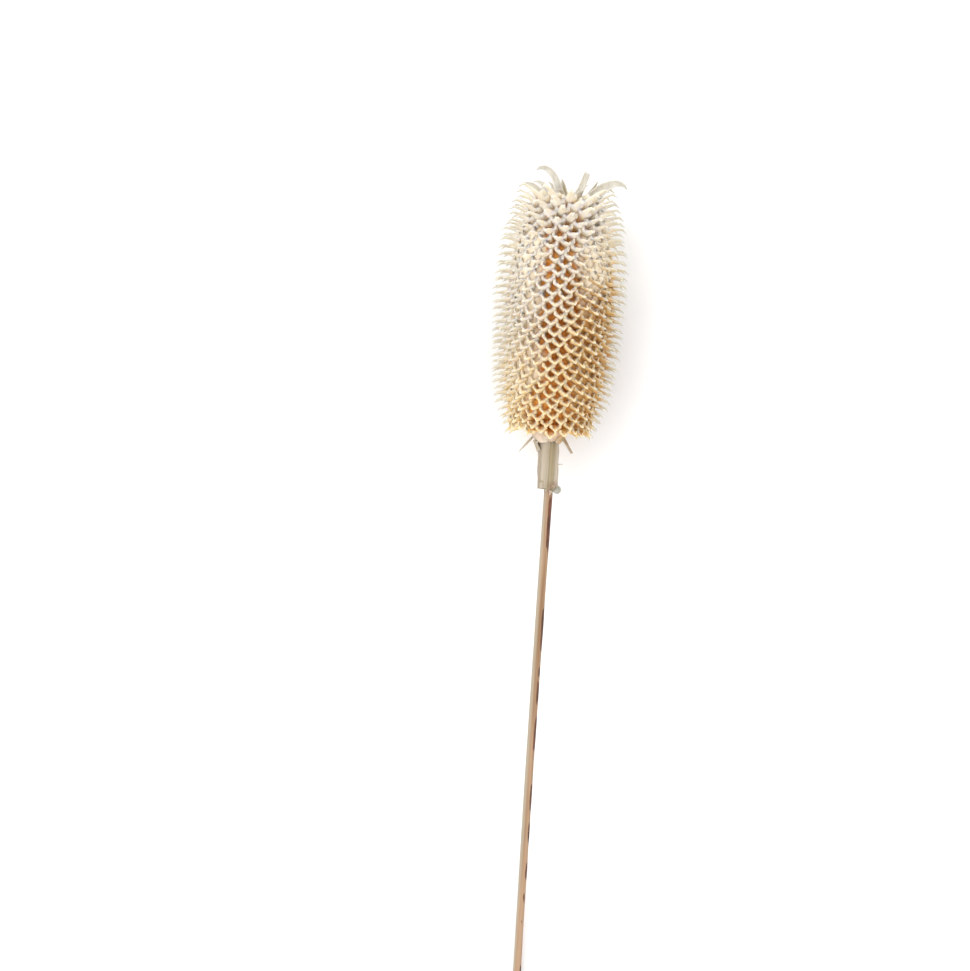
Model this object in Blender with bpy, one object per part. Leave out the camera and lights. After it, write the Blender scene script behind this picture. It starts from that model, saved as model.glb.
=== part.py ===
"""A dried teasel head on a cane stick, lying on a level surface with its crown towards +Y.

The head stands on a short cut stalk, which is split along its upper side, and the stick runs up the split,
held by glue. The head is fatter than the stick, so the whole rises from the stick's lower end towards the
crown and rests on three places: the stick's end and the bent bract tips under both sides of the head.

Inside the head is the receptacle, the swollen woody end of the stalk. The small bracts stand on it in the
order in which they grew, one golden angle after another. Twenty-one of them make one turn of the spiral
pattern, and each such row is one node: a level ring of feet, with twenty-one hooked bracts whose rims lie
in a slightly tilted ring. The long bracts of the crown and the broken ones below the head are nodes of
their own.
"""

import math

import bmesh
import bpy
from mathutils import Matrix, Vector

# How it lies.
LEAN = math.radians(5.0)  # rise of the stick from the surface
STICK_X = 0.0007  # places the whole evenly about X = 0
HALF_LENGTH = 0.1396  # from the stick's lower end to the origin, along Y

# The stick.
STICK_LENGTH = 0.1906
STICK_END_RADIUS = 0.00133
STICK_TOP_RADIUS = 0.00148
STICK_SIDES = 12

# The stalk stub, and how it stands aside from the stick.
STUB_START = 0.1745  # height of its cut end, along the stick
STUB_LENGTH = 0.0166
STUB_END_RADIUS = 0.00335
STUB_TOP_RADIUS = 0.0035
STUB_END_SHIFT = -0.0005
STUB_SIDES = 16
SPLIT_WIDTH = 0.0026
SPLIT_TURN = math.radians(8)

# The glue bead beside the stick, at the stub's cut end.
GLUE_RADIUS = 0.0012
GLUE_TURN = math.radians(72)

# The head, and the receptacle inside it, each two half ellipses long.
HEAD_START = 0.1915  # height of the head's base, along the stick
HEAD_SHIFT = -0.0012
HEAD_SWING = math.radians(0.65)
RIM_RADIUS = 0.0174  # to the rims of the bracts' scoops
RIM_WIDEST = 0.042
RIM_BELOW = 0.0564
RIM_ABOVE = 0.049
CORE_RADIUS = 0.0095
CORE_WIDEST = 0.036
CORE_BELOW = 0.048
CORE_ABOVE = 0.040
CORE_SIDES = 16
CORE_STEPS = 11
CORE_NECK_RADIUS = 0.0034
CORE_NECK_HEIGHT = 0.0003
CORE_COLLAR_RADIUS = 0.0060
CORE_COLLAR_HEIGHT = 0.0012

# The bracts.
GOLDEN_ANGLE = math.radians(137.508)
ROWS = 32
BRACTS_PER_ROW = 21
FIRST_RIM = 0.0025  # height of the first bract's rim
LEAST_AREA = 7.0e-6  # of the head's surface for each bract, at the base
AREA_GROWTH = 7.0e-6  # what it grows by over AREA_SPAN
AREA_SPAN = 0.075
AREA_POWER = 0.6
ROW_TILT = 0.144  # how much higher a row's rims stand for each unit further to the right
RIM_LIFT = 0.010  # how far a rim stands above its foot at the top of the head
EVEN_LIFT = 0.35  # the share of it that grows evenly up the head
LIFT_POWER = 5
LEVEL_HEIGHT = 0.015  # where a rim stands as high as its foot
LIFT_SPAN = 0.061
DROOP = 0.0022  # how far the lowest rims hang below their feet
DROOP_SPAN = 0.016
FOOT_DEPTH = 0.0010  # of the ring of feet, outwards
FOOT_HEIGHT = 0.0010
KNEE_WIDTH = 0.0024
KNEE_THICKNESS = 0.0011
SPINE_LENGTH = 0.0050
SPINE_GROWTH = 0.0022  # what a spine is longer by at the crown
SPINE_RISE = math.radians(2)  # of a spine above the slope of its scoop
SPINE_RISE_LOST = math.radians(24)  # what it rises less at the crown
SPINE_BEND = math.radians(56)
SPINE_BEND_GROWTH = math.radians(46)
SPINE_STEPS = 6

# The long blades of the crown and below the head.
BLADE_THICKNESS = 0.0006
BLADE_ROOT_SHARE = 0.6  # of its full width
BLADE_BROKEN_SHARE = 0.7  # of its full width, where its tip has broken off
# Width of each section as a share of the full width, and share of the whole bend made after it.
BLADE_SECTIONS = [(1.0, 0.03), (0.95, 0.12), (0.8, 0.35), (0.5, 0.5)]
INVOLUCRE_ROOT_RADIUS = 0.0053
INVOLUCRE_ROOT_HEIGHT = 0.0006

# Room left between neighbours.
GAP = 0.0003
FACET_ROOM = 0.00015  # what a faceted ring's flats need beyond the gap

QUARTER_TURN = math.pi / 2

STICK_FRAME = Matrix.Translation(
    (STICK_X, -HALF_LENGTH, STICK_END_RADIUS * math.cos(LEAN))
) @ Matrix.Rotation(LEAN - QUARTER_TURN, 4, "X")
STUB_TILT = math.atan2(HEAD_SHIFT - STUB_END_SHIFT, STUB_LENGTH)
STUB_FRAME = (
    STICK_FRAME
    @ Matrix.Translation((STUB_END_SHIFT, 0, STUB_START))
    @ Matrix.Rotation(STUB_TILT, 4, "Y")
)
HEAD_FRAME = (
    STICK_FRAME
    @ Matrix.Translation((HEAD_SHIFT, 0, HEAD_START))
    @ Matrix.Rotation(HEAD_SWING, 4, "Y")
)


def clear_scene():
    for obj in list(bpy.data.objects):
        bpy.data.objects.remove(obj, do_unlink=True)


def finish(name, colour, roughness):
    material = bpy.data.materials.new(name)
    material.use_nodes = True
    surface = material.node_tree.nodes["Principled BSDF"]
    surface.inputs["Base Color"].default_value = (*colour, 1)
    surface.inputs["Roughness"].default_value = roughness
    surface.inputs["Metallic"].default_value = 0
    material.diffuse_color = (*colour, 1)
    return material


def frame_empty(name, matrix):
    empty = bpy.data.objects.new(name, None)
    empty.empty_display_size = 0.01
    empty.matrix_world = matrix
    bpy.context.scene.collection.objects.link(empty)
    return empty


def solid(name, bm, parent, material):
    """An object from a bmesh, in the frame of its parent empty."""
    bmesh.ops.recalc_face_normals(bm, faces=bm.faces)
    mesh = bpy.data.meshes.new(name)
    bm.to_mesh(mesh)
    bm.free()
    mesh.materials.append(material)
    mesh.shade_smooth()
    mesh.set_sharp_from_angle(angle=math.radians(50))
    obj = bpy.data.objects.new(name, mesh)
    obj.parent = parent
    bpy.context.scene.collection.objects.link(obj)
    return obj


def half_ellipses(height, widest, below, above, radius):
    """Radius at a height, of a body of two half ellipses that meet at its widest place."""
    reach = below if height < widest else above
    share = (height - widest) / reach
    return radius * math.sqrt(max(0.0, 1 - share * share))


def rim_radius(height):
    return half_ellipses(height, RIM_WIDEST, RIM_BELOW, RIM_ABOVE, RIM_RADIUS)


def core_radius(height):
    return half_ellipses(height, CORE_WIDEST, CORE_BELOW, CORE_ABOVE, CORE_RADIUS)


def rim_heights(count):
    """Height of each bract's rim in growing order: each takes its own area of the head's surface."""
    heights = []
    height = FIRST_RIM
    for _ in range(count):
        heights.append(height)
        area = LEAST_AREA + AREA_GROWTH * (height / AREA_SPAN) ** AREA_POWER
        height += area / (math.tau * rim_radius(height))
    return heights


def lift(height):
    """How far the rim at this height stands above its foot."""
    share = (height - LEVEL_HEIGHT) / LIFT_SPAN
    hang = max(0.0, 1 - height / DROOP_SPAN)
    return RIM_LIFT * (EVEN_LIFT * share + (1 - EVEN_LIFT) * share**LIFT_POWER) - DROOP * hang**2


def outward(turn):
    """Unit vector across the axis. Turn 0 faces up from the surface, and a quarter turn faces +X."""
    return Vector((math.sin(turn), -math.cos(turn), 0))


def draw_out(bm, face, across, over, sections, tip):
    """Pulls one four-cornered face out through sections (centre, width, thickness) to a point, or to a flat
    end where tip is None."""
    for centre, width, thickness in sections:
        middle = face.calc_center_median()
        face = bmesh.ops.extrude_discrete_faces(bm, faces=[face])["faces"][0]
        for corner in face.verts:
            offset = corner.co - middle
            side = math.copysign(width / 2, offset.dot(across))
            level = math.copysign(thickness / 2, offset.dot(over))
            corner.co = centre + across * side + over * level
    if tip is None:
        return
    face = bmesh.ops.extrude_discrete_faces(bm, faces=[face])["faces"][0]
    bmesh.ops.pointmerge(bm, verts=list(face.verts), merge_co=tip)


def spine_tip(start, radial, rise, length, bend):
    """End of a spine that leaves at an angle of rise above the level and bends down evenly."""
    point = start.copy()
    for step in range(SPINE_STEPS):
        angle = rise - bend * (step + 0.5) / SPINE_STEPS
        point += (radial * math.cos(angle) + Vector((0, 0, math.sin(angle)))) * length / SPINE_STEPS
    return point


def lay_down(bm, frame):
    """What would reach below the surface is bent up onto it."""
    back = frame.inverted()
    for vertex in bm.verts:
        place = frame @ vertex.co
        if place.z < 0:
            place.z = 0
            vertex.co = back @ place


def add_receptacle(parent, material):
    bm = bmesh.new()
    outline = [bm.verts.new((0, 0, CORE_NECK_HEIGHT))]
    outline.append(bm.verts.new((CORE_NECK_RADIUS, 0, CORE_NECK_HEIGHT)))
    outline.append(bm.verts.new((CORE_COLLAR_RADIUS, 0, CORE_COLLAR_HEIGHT)))
    top = CORE_WIDEST + CORE_ABOVE
    for step in range(1, CORE_STEPS):
        height = top * math.sin(QUARTER_TURN * step / CORE_STEPS)
        outline.append(bm.verts.new((core_radius(height), 0, height)))
    outline.append(bm.verts.new((0, 0, top)))
    edges = [bm.edges.new(pair) for pair in zip(outline, outline[1:])]
    bmesh.ops.spin(
        bm,
        geom=outline + edges,
        cent=(0, 0, 0),
        axis=(0, 0, 1),
        angle=math.tau,
        steps=CORE_SIDES,
        use_merge=True,
    )
    bmesh.ops.remove_doubles(bm, verts=bm.verts, dist=1e-6)
    return solid("receptacle", bm, parent, material)


def add_bract_row(row, heights, parent, material):
    """A level ring of feet round the receptacle, with a hooked bract drawn out of each side of it."""
    rim = heights[row * BRACTS_PER_ROW + BRACTS_PER_ROW // 2]
    foot = rim - lift(rim)
    low = foot - FOOT_HEIGHT / 2
    high = foot + FOOT_HEIGHT / 2
    inside = max(core_radius(low), core_radius(high)) + GAP + FACET_ROOM
    outside = inside + FOOT_DEPTH
    pitch = math.tau / BRACTS_PER_ROW
    turn = row * (BRACTS_PER_ROW * GOLDEN_ANGLE % math.tau)

    bm = bmesh.new()
    start = outward(turn - pitch / 2)
    corners = [(inside, low), (outside, low), (outside, high), (inside, high)]
    profile = [bm.verts.new(start * radius + Vector((0, 0, level))) for radius, level in corners]
    edges = [bm.edges.new((a, b)) for a, b in zip(profile, profile[1:] + profile[:1])]
    bmesh.ops.spin(
        bm,
        geom=profile + edges,
        cent=(0, 0, 0),
        axis=(0, 0, 1),
        angle=math.tau,
        steps=BRACTS_PER_ROW,
        use_merge=True,
    )
    bm.faces.ensure_lookup_table()
    bmesh.ops.recalc_face_normals(bm, faces=bm.faces)
    between = (inside + outside) / 2
    walls = [f for f in bm.faces if min(v.co.xy.length for v in f.verts) > between]

    share = max(0.0, (rim - RIM_WIDEST) / RIM_ABOVE)
    length = SPINE_LENGTH + SPINE_GROWTH * share
    bend = SPINE_BEND + SPINE_BEND_GROWTH * share
    slope = math.atan2(lift(rim), rim_radius(rim) - core_radius(foot))
    rise = slope + SPINE_RISE - SPINE_RISE_LOST * share
    for wall in walls:
        radial = wall.calc_center_median()
        radial.z = 0
        radial.normalize()
        across = Vector((-radial.y, radial.x, 0))
        upright = Vector((0, 0, 1))
        knee = radial * rim_radius(rim)
        knee.z = rim + ROW_TILT * knee.x
        tip = spine_tip(knee, radial, rise, length, bend)
        draw_out(bm, wall, across, upright, [(knee, KNEE_WIDTH, KNEE_THICKNESS)], tip)
    lay_down(bm, HEAD_FRAME)
    return solid(f"bract_row_{row + 1:02d}", bm, parent, material)


def blade(bm, root, radial, rise, width, reach, bend, tip_kept=True):
    """A tapering blade that leaves its root at an angle of rise above the level and bends over outwards.

    A blade whose tip has broken off keeps a flat end."""
    across = Vector((radial.y, -radial.x, 0))
    direction = radial * math.cos(rise) + Vector((0, 0, math.sin(rise)))
    over = across.cross(direction)
    half_width = width * BLADE_ROOT_SHARE / 2
    corners = [(half_width, 1), (-half_width, 1), (-half_width, -1), (half_width, -1)]
    base = [root + across * side + over * level * BLADE_THICKNESS / 2 for side, level in corners]
    face = bm.faces.new([bm.verts.new(corner) for corner in base])
    point = root.copy()
    sections = []
    step = reach / (len(BLADE_SECTIONS) + 1)
    for share, turn in BLADE_SECTIONS:
        point = point + direction * step
        if not tip_kept:
            share = max(share, BLADE_BROKEN_SHARE)
        sections.append((point.copy(), width * share, BLADE_THICKNESS * (1 + share) / 2))
        direction = Matrix.Rotation(-bend * turn, 3, across) @ direction
    tip = point + direction * step
    if not tip_kept:
        sections.append((tip, width * BLADE_BROKEN_SHARE, BLADE_THICKNESS))
        tip = None
    draw_out(bm, face, across, over, sections, tip)
    bmesh.ops.holes_fill(bm, edges=[edge for edge in bm.edges if edge.is_boundary], sides=4)


def add_crown(parent, material):
    """The long bracts of the tuft at the top: turn from straight up, distance of the root from the axis and
    its height, angle above the level, length, width, bend, and whether the tip is kept."""
    crown = [
        (-60, 1.9, 75.3, 67, 19.5, 3.2, 105, True),
        (-165, 1.4, 76.3, 82, 12.5, 2.2, 10, True),
        (57, 2.0, 75.2, 67, 15.6, 2.4, 8, False),
        (118, 2.9, 74.8, 60, 14.0, 1.4, -12, True),
        (89, 3.6, 73.7, 51, 21.6, 2.6, 125, True),
        (-92, 3.6, 73.7, 52, 17.6, 2.2, 100, True),
        (-122, 2.8, 74.7, 54, 16.0, 2.2, 95, True),
        (-150, 3.6, 73.7, 60, 16.0, 2.2, 80, True),
        (148, 3.6, 73.7, 60, 16.0, 2.0, 80, True),
        (-20, 3.6, 73.7, 64, 9.0, 2.8, 110, True),
        (24, 3.6, 73.7, 62, 9.0, 2.8, 110, True),
    ]
    for number, (turn, away, height, rise, reach, width, bend, kept) in enumerate(crown, 1):
        radial = outward(math.radians(turn))
        root = radial * away / 1000 + Vector((0, 0, height / 1000))
        bm = bmesh.new()
        blade(bm, root, radial, math.radians(rise), width / 1000, reach / 1000, math.radians(bend), kept)
        solid(f"crown_bract_{number:02d}", bm, parent, material)


def add_involucre(parent, material):
    """What is left of the bracts below the head: turn, angle above the level, length, width and tip kept."""
    remains = [
        ("left_spine", -74, -50, 8.4, 0.9, True),
        ("right_stump", 62, -52, 7.0, 1.5, False),
        ("back_left_stump", -152, -38, 4.0, 1.3, False),
        ("back_right_stump", 142, -40, 3.2, 1.4, False),
    ]
    for name, turn, rise, reach, width, kept in remains:
        radial = outward(math.radians(turn))
        root = radial * INVOLUCRE_ROOT_RADIUS + Vector((0, 0, INVOLUCRE_ROOT_HEIGHT))
        bm = bmesh.new()
        blade(bm, root, radial, math.radians(rise), width / 1000, reach / 1000, 0, kept)
        lay_down(bm, HEAD_FRAME)
        solid(f"involucre_{name}", bm, parent, material)


def add_stick(parent, material):
    bm = bmesh.new()
    bmesh.ops.create_cone(
        bm,
        cap_ends=True,
        segments=STICK_SIDES,
        radius1=STICK_END_RADIUS,
        radius2=STICK_TOP_RADIUS,
        depth=STICK_LENGTH,
        matrix=Matrix.Translation((0, 0, STICK_LENGTH / 2)),
    )
    return solid("stick", bm, parent, material)


def cutter(name, bm, parent):
    bmesh.ops.recalc_face_normals(bm, faces=bm.faces)
    mesh = bpy.data.meshes.new(name)
    bm.to_mesh(mesh)
    bm.free()
    obj = bpy.data.objects.new(name, mesh)
    obj.parent = parent
    obj.hide_render = True
    obj.display_type = "WIRE"
    bpy.context.scene.collection.objects.link(obj)
    return obj


def add_stub(stub_frame, stick_frame, material):
    """The stalk stub: a tube that is cut open along its upper side, where the stick lies in it."""
    bm = bmesh.new()
    bmesh.ops.create_cone(
        bm,
        cap_ends=True,
        segments=STUB_SIDES,
        radius1=STUB_END_RADIUS,
        radius2=STUB_TOP_RADIUS,
        depth=STUB_LENGTH,
        matrix=Matrix.Translation((0, 0, STUB_LENGTH / 2)),
    )
    stub = solid("stalk_stub", bm, stub_frame, material)

    middle = Matrix.Translation((0, 0, STUB_START + STUB_LENGTH / 2))
    cutter_length = STUB_LENGTH * 1.5
    bm = bmesh.new()
    bmesh.ops.create_cone(
        bm,
        cap_ends=True,
        segments=STICK_SIDES,
        radius1=STICK_TOP_RADIUS + GAP + FACET_ROOM,
        radius2=STICK_TOP_RADIUS + GAP + FACET_ROOM,
        depth=cutter_length,
        matrix=middle,
    )
    bore = cutter("stub_bore_cutter", bm, stick_frame)

    slot_depth = STUB_TOP_RADIUS * 2
    bm = bmesh.new()
    bmesh.ops.create_cube(
        bm,
        size=1,
        matrix=middle
        @ Matrix.Rotation(SPLIT_TURN, 4, "Z")
        @ Matrix.Translation((0, -slot_depth / 2, 0))
        @ Matrix.Diagonal((SPLIT_WIDTH, slot_depth, cutter_length, 1)),
    )
    split = cutter("stub_split_cutter", bm, stick_frame)

    for tool in (bore, split):
        cut = stub.modifiers.new(tool.name, "BOOLEAN")
        cut.operation = "DIFFERENCE"
        cut.solver = "EXACT"
        cut.object = tool
    return stub


def add_glue(parent, material):
    """The bead that ran out at the stub's lower end, beside the stick."""
    away = STICK_TOP_RADIUS + GAP + GLUE_RADIUS
    place = outward(GLUE_TURN) * away + Vector((0, 0, STUB_START - GAP - GLUE_RADIUS))
    bm = bmesh.new()
    bmesh.ops.create_icosphere(bm, subdivisions=2, radius=GLUE_RADIUS, matrix=Matrix.Translation(place))
    return solid("glue_bead", bm, parent, material)


clear_scene()
bract_finish = finish("bract", (0.78, 0.68, 0.54), 0.62)
crown_finish = finish("crown", (0.84, 0.80, 0.73), 0.6)
core_finish = finish("receptacle", (0.48, 0.25, 0.07), 0.75)
stalk_finish = finish("stalk", (0.72, 0.66, 0.54), 0.7)
stick_finish = finish("stick", (0.50, 0.33, 0.22), 0.6)
glue_finish = finish("glue", (0.82, 0.82, 0.78), 0.25)

stick_frame = frame_empty("stick_frame", STICK_FRAME)
stub_frame = frame_empty("stub_frame", STUB_FRAME)
head_frame = frame_empty("head_frame", HEAD_FRAME)

add_stick(stick_frame, stick_finish)
add_stub(stub_frame, stick_frame, stalk_finish)
add_glue(stick_frame, glue_finish)
add_receptacle(head_frame, core_finish)
all_heights = rim_heights(ROWS * BRACTS_PER_ROW)
for row in range(ROWS):
    add_bract_row(row, all_heights, head_frame, bract_finish)
add_crown(head_frame, crown_finish)
add_involucre(head_frame, stalk_finish)
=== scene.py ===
import math
import random

import bmesh
import bpy
from mathutils import Matrix, Vector, noise


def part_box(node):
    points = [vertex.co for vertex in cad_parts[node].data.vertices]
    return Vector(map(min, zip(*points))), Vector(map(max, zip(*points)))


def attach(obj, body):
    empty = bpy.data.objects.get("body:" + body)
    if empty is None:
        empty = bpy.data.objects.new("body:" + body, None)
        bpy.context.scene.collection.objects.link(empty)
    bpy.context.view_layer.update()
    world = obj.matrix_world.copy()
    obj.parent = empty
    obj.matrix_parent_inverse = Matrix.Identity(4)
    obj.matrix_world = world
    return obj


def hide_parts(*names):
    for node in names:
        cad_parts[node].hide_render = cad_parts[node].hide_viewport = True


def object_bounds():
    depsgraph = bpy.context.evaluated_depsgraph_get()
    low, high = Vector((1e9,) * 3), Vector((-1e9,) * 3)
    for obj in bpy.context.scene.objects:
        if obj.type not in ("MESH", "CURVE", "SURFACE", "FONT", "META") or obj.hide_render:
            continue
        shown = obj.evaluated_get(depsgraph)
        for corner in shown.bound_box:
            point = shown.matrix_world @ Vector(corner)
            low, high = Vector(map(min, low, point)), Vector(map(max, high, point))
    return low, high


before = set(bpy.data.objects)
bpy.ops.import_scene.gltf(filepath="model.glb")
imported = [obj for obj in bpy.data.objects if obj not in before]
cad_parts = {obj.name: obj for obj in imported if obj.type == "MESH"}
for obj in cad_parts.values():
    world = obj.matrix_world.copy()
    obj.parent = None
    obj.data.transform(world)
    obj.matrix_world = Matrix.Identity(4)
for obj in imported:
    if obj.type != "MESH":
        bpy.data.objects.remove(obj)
cad_low, cad_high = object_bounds()

# ------------------------------------------------------------------------------------------------ stick
# A slim cane, peeled and shaved to about 3 mm, that carries the head. Shreds of its dark bark are left
# along one side. It lies with its lower end on the surface and rises towards the head.

LEAN = math.radians(5.0)  # rise of the stick from the surface
STICK_END_RADIUS = 0.00133
STICK_TOP_RADIUS = 0.00148
STICK_SIDES = 32
STICK_RING = 0.0012  # distance between the rings of its mesh
STICK_BOW = 0.00035
STICK_CHAMFER = 0.00025
STICK_OVAL = 0.030  # how oval the knife left it, as a share of its radius,
STICK_OVAL_TURN = 0.9  # and which way the oval lies
STICK_FACETS = 0.018  # how flat it left three sides,
STICK_FACET_TWIST = 12  # and how far these wind round it from end to end
STICK_LUMPS = 0.022  # how high its lumps are,
STICK_LUMP_LENGTH = 0.004  # how long,
STICK_LUMPS_ROUND = 1.5  # and how close together round it
IN_THE_SPLIT = (0.176, 0.181)  # where it starts to lie in the stalk's split, under its dust

# Where bark is left: from and to along the stick, and from and to round it, in degrees from the front.
BARK_LEFT = [
    (0.1515, 0.1730, 4, 150),
    (0.1205, 0.1335, 17, 128),
    (0.1108, 0.1145, 24, 96),
    (0.1008, 0.1088, 14, 118),
    (0.0878, 0.0982, 12, 140),
    (0.0658, 0.0742, 22, 112),
    (0.0543, 0.0617, 26, 124),
    (0.0418, 0.0480, 26, 104),
    (0.0350, 0.0372, 14, 50),
    (0.0262, 0.0280, 10, 44),
    (0.0188, 0.0200, 16, 46),
    (0.0050, 0.0130, 40, 110),
]
BARK_THICKNESS = 0.00008
BARK_TAPER = 0.0012  # how far a patch thins out to each side of its ends,
BARK_TAPER_SHARE = 0.22  # and the share of its length that this gains
BARK_NEAR_EDGE = (-10, 12)  # over how many degrees its long edges thin out
BARK_FAR_EDGE = (-22, 0)


def outward(turn):
    """Unit vector across an axis that runs along +Z. Turn 0 is the front, which faces up when the head lies
    down, and a quarter turn faces +X."""
    return Vector((math.sin(turn), -math.cos(turn), 0))


def ease(value, low, high):
    """0 below low, 1 above high, and a smooth step between them."""
    share = min(1.0, max(0.0, (value - low) / (high - low)))
    return share * share * (3 - 2 * share)


def mix(share, first, second):
    return first + (second - first) * share


def draw_out(bm, outlines, tip=None):
    """Draws a first closed outline out through the others, to a tip or to a flat end, and closes both ends.

    It gives back the corners, outline by outline."""
    corners = [bm.verts.new(point) for point in outlines[0]]
    face = bm.faces.new(corners)
    start_edges = list(face.edges)
    rings = [corners]
    for outline in outlines[1:]:
        face = bmesh.ops.extrude_discrete_faces(bm, faces=[face])["faces"][0]
        for corner, point in zip(face.verts, outline):
            corner.co = point
        rings.append(list(face.verts))
    if tip is not None:
        face = bmesh.ops.extrude_discrete_faces(bm, faces=[face])["faces"][0]
        end = face.verts[0]
        bmesh.ops.pointmerge(bm, verts=list(face.verts), merge_co=tip)
        rings.append([end])
    bmesh.ops.holes_fill(bm, edges=start_edges, sides=0)
    return rings


def add_piece(name, bm, place, material, nodes):
    """One finished piece, which stands for these nodes."""
    bm.transform(place)
    bmesh.ops.recalc_face_normals(bm, faces=bm.faces)
    mesh = bpy.data.meshes.new(name)
    bm.to_mesh(mesh)
    bm.free()
    mesh.materials.append(material)
    mesh.shade_smooth()
    obj = bpy.data.objects.new(name, mesh)
    bpy.context.scene.collection.objects.link(obj)
    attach(obj, "root")
    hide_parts(*nodes)
    return obj


def paint(red, green, blue):
    """A shader colour from a screen colour in parts of 255."""
    parts = [value / 255 for value in (red, green, blue)]
    return (*[part / 12.92 if part < 0.04045 else ((part + 0.055) / 1.055) ** 2.4 for part in parts], 1.0)


class Shade:
    """A socket of a material's node tree. Arithmetic on it adds Math nodes."""

    def __init__(self, tree, socket=None):
        self.tree = tree
        self.socket = socket

    def fill(self, target, sockets):
        for name, value in sockets.items():
            if isinstance(value, Shade):
                self.tree.links.new(value.socket, target.inputs[name])
            else:
                target.inputs[name].default_value = value

    def node(self, kind, settings, sockets, output=0):
        made = self.tree.nodes.new("ShaderNode" + kind)
        for setting, value in settings.items():
            setattr(made, setting, value)
        self.fill(made, sockets)
        return Shade(self.tree, made.outputs[output])

    def maths(self, operation, first, second=0.0):
        return self.node("Math", {"operation": operation}, {0: first, 1: second})

    def __add__(self, other):
        return self.maths("ADD", self, other)

    def __sub__(self, other):
        return self.maths("SUBTRACT", self, other)

    def __rsub__(self, other):
        return self.maths("SUBTRACT", other, self)

    def __mul__(self, other):
        return self.maths("MULTIPLY", self, other)

    __radd__ = __add__
    __rmul__ = __mul__

    def between(self, low, high):
        """0 at low, 1 at high, and a smooth step between them."""
        settings = {"interpolation_type": "SMOOTHSTEP"}
        return self.node("MapRange", settings, {"Value": self, "From Min": low, "From Max": high})

    def colour(self, first, second):
        """The colour that goes from first to second as this value goes from 0 to 1."""
        return self.node("Mix", {"data_type": "RGBA"}, {0: self, 6: first, 7: second}, output=2)

    def mottle(self, size, detail=3.0, stretch=(1, 1, 1)):
        """Noise in spots of about this size, on these coordinates."""
        stretched = self.node("Mapping", {}, {"Vector": self, "Scale": stretch})
        sockets = {"Vector": stretched, "Scale": 0.5 / size, "Detail": detail, "Roughness": 0.6}
        return self.node("TexNoise", {}, sockets)

    def axis(self, name):
        return self.node("SeparateXYZ", {}, {0: self}, output=name)


def new_material(name):
    """A material, its tree, and the object's coordinates in it turned so that Y runs along the stick."""
    material = bpy.data.materials.new(name)
    material.use_nodes = True
    tree = Shade(material.node_tree)
    coordinates = tree.node("TexCoord", {}, {}, output="Object")
    turned = tree.node("Mapping", {}, {"Vector": coordinates, "Rotation": (-LEAN, 0, 0)})
    return material, tree, turned


def set_surface(material, tree, sockets):
    tree.fill(material.node_tree.nodes["Principled BSDF"], sockets)


def attribute(tree, name):
    return tree.node("Attribute", {"attribute_name": name}, {}, output="Fac")


def bump(tree, height, distance, strength=1.0):
    return tree.node("Bump", {}, {"Strength": strength, "Distance": distance, "Height": height})


stick_low, stick_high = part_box("stick")
stick_start = Vector(
    (
        (stick_low.x + stick_high.x) / 2,
        stick_low.y + STICK_END_RADIUS * math.sin(LEAN),
        stick_low.z + STICK_END_RADIUS * math.cos(LEAN),
    )
)
stick_frame = Matrix.Translation(stick_start) @ Matrix.Rotation(LEAN - math.pi / 2, 4, "X")
start_along = stick_start.y * math.cos(LEAN) + stick_start.z * math.sin(LEAN)


def along_stick(y, radius):
    """How far along the stick a square cut of this radius lies, whose rim starts at y."""
    return (y - stick_start.y + radius * math.sin(LEAN)) / math.cos(LEAN)


stick_length = along_stick(stick_high.y, -STICK_TOP_RADIUS)


def bark_at(height, turn):
    """How surely there is bark at a place on the stick, from 0 to 1."""
    degrees = math.degrees(turn)
    most = 0.0
    for start, end, near, far in BARK_LEFT:
        taper = BARK_TAPER + BARK_TAPER_SHARE * (end - start)
        begun = ease(height, start - taper, start + taper)
        ended = ease(height, end - taper, end + taper)
        near_edge = ease(degrees - near, *BARK_NEAR_EDGE)
        far_edge = ease(degrees - far, *BARK_FAR_EDGE)
        most = max(most, begun * (1 - ended) * near_edge * (1 - far_edge))
    return most


def stick_outline(height, inset=0.0):
    share = height / stick_length
    radius = mix(share, STICK_END_RADIUS, STICK_TOP_RADIUS) - inset
    middle = Vector((-4 * STICK_BOW * share * (1 - share), 0, height))
    points = []
    for side in range(STICK_SIDES):
        turn = math.tau * side / STICK_SIDES
        shaved = STICK_OVAL * math.cos(2 * turn + STICK_OVAL_TURN)
        shaved += STICK_FACETS * math.cos(3 * turn + STICK_FACET_TWIST * share)
        across = outward(turn) * STICK_LUMPS_ROUND
        lumps = STICK_LUMPS * noise.noise(Vector((across.x, -across.y, height / STICK_LUMP_LENGTH)))
        raised = BARK_THICKNESS * bark_at(height, math.remainder(turn, math.tau))
        points.append(middle + outward(turn) * (radius * (1 + shaved + lumps) + raised))
    return points


bm = bmesh.new()
bark_layer = bm.verts.layers.float.new("bark")
ring_count = round(stick_length / STICK_RING)
outlines = [stick_outline(0.0, STICK_CHAMFER), stick_outline(STICK_CHAMFER)]
outlines += [stick_outline(stick_length * ring / ring_count) for ring in range(1, ring_count)]
outlines.append(stick_outline(stick_length, STICK_CHAMFER))
draw_out(bm, outlines)
for vertex in bm.verts:
    vertex[bark_layer] = bark_at(vertex.co.z, math.atan2(vertex.co.x, -vertex.co.y))

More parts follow.
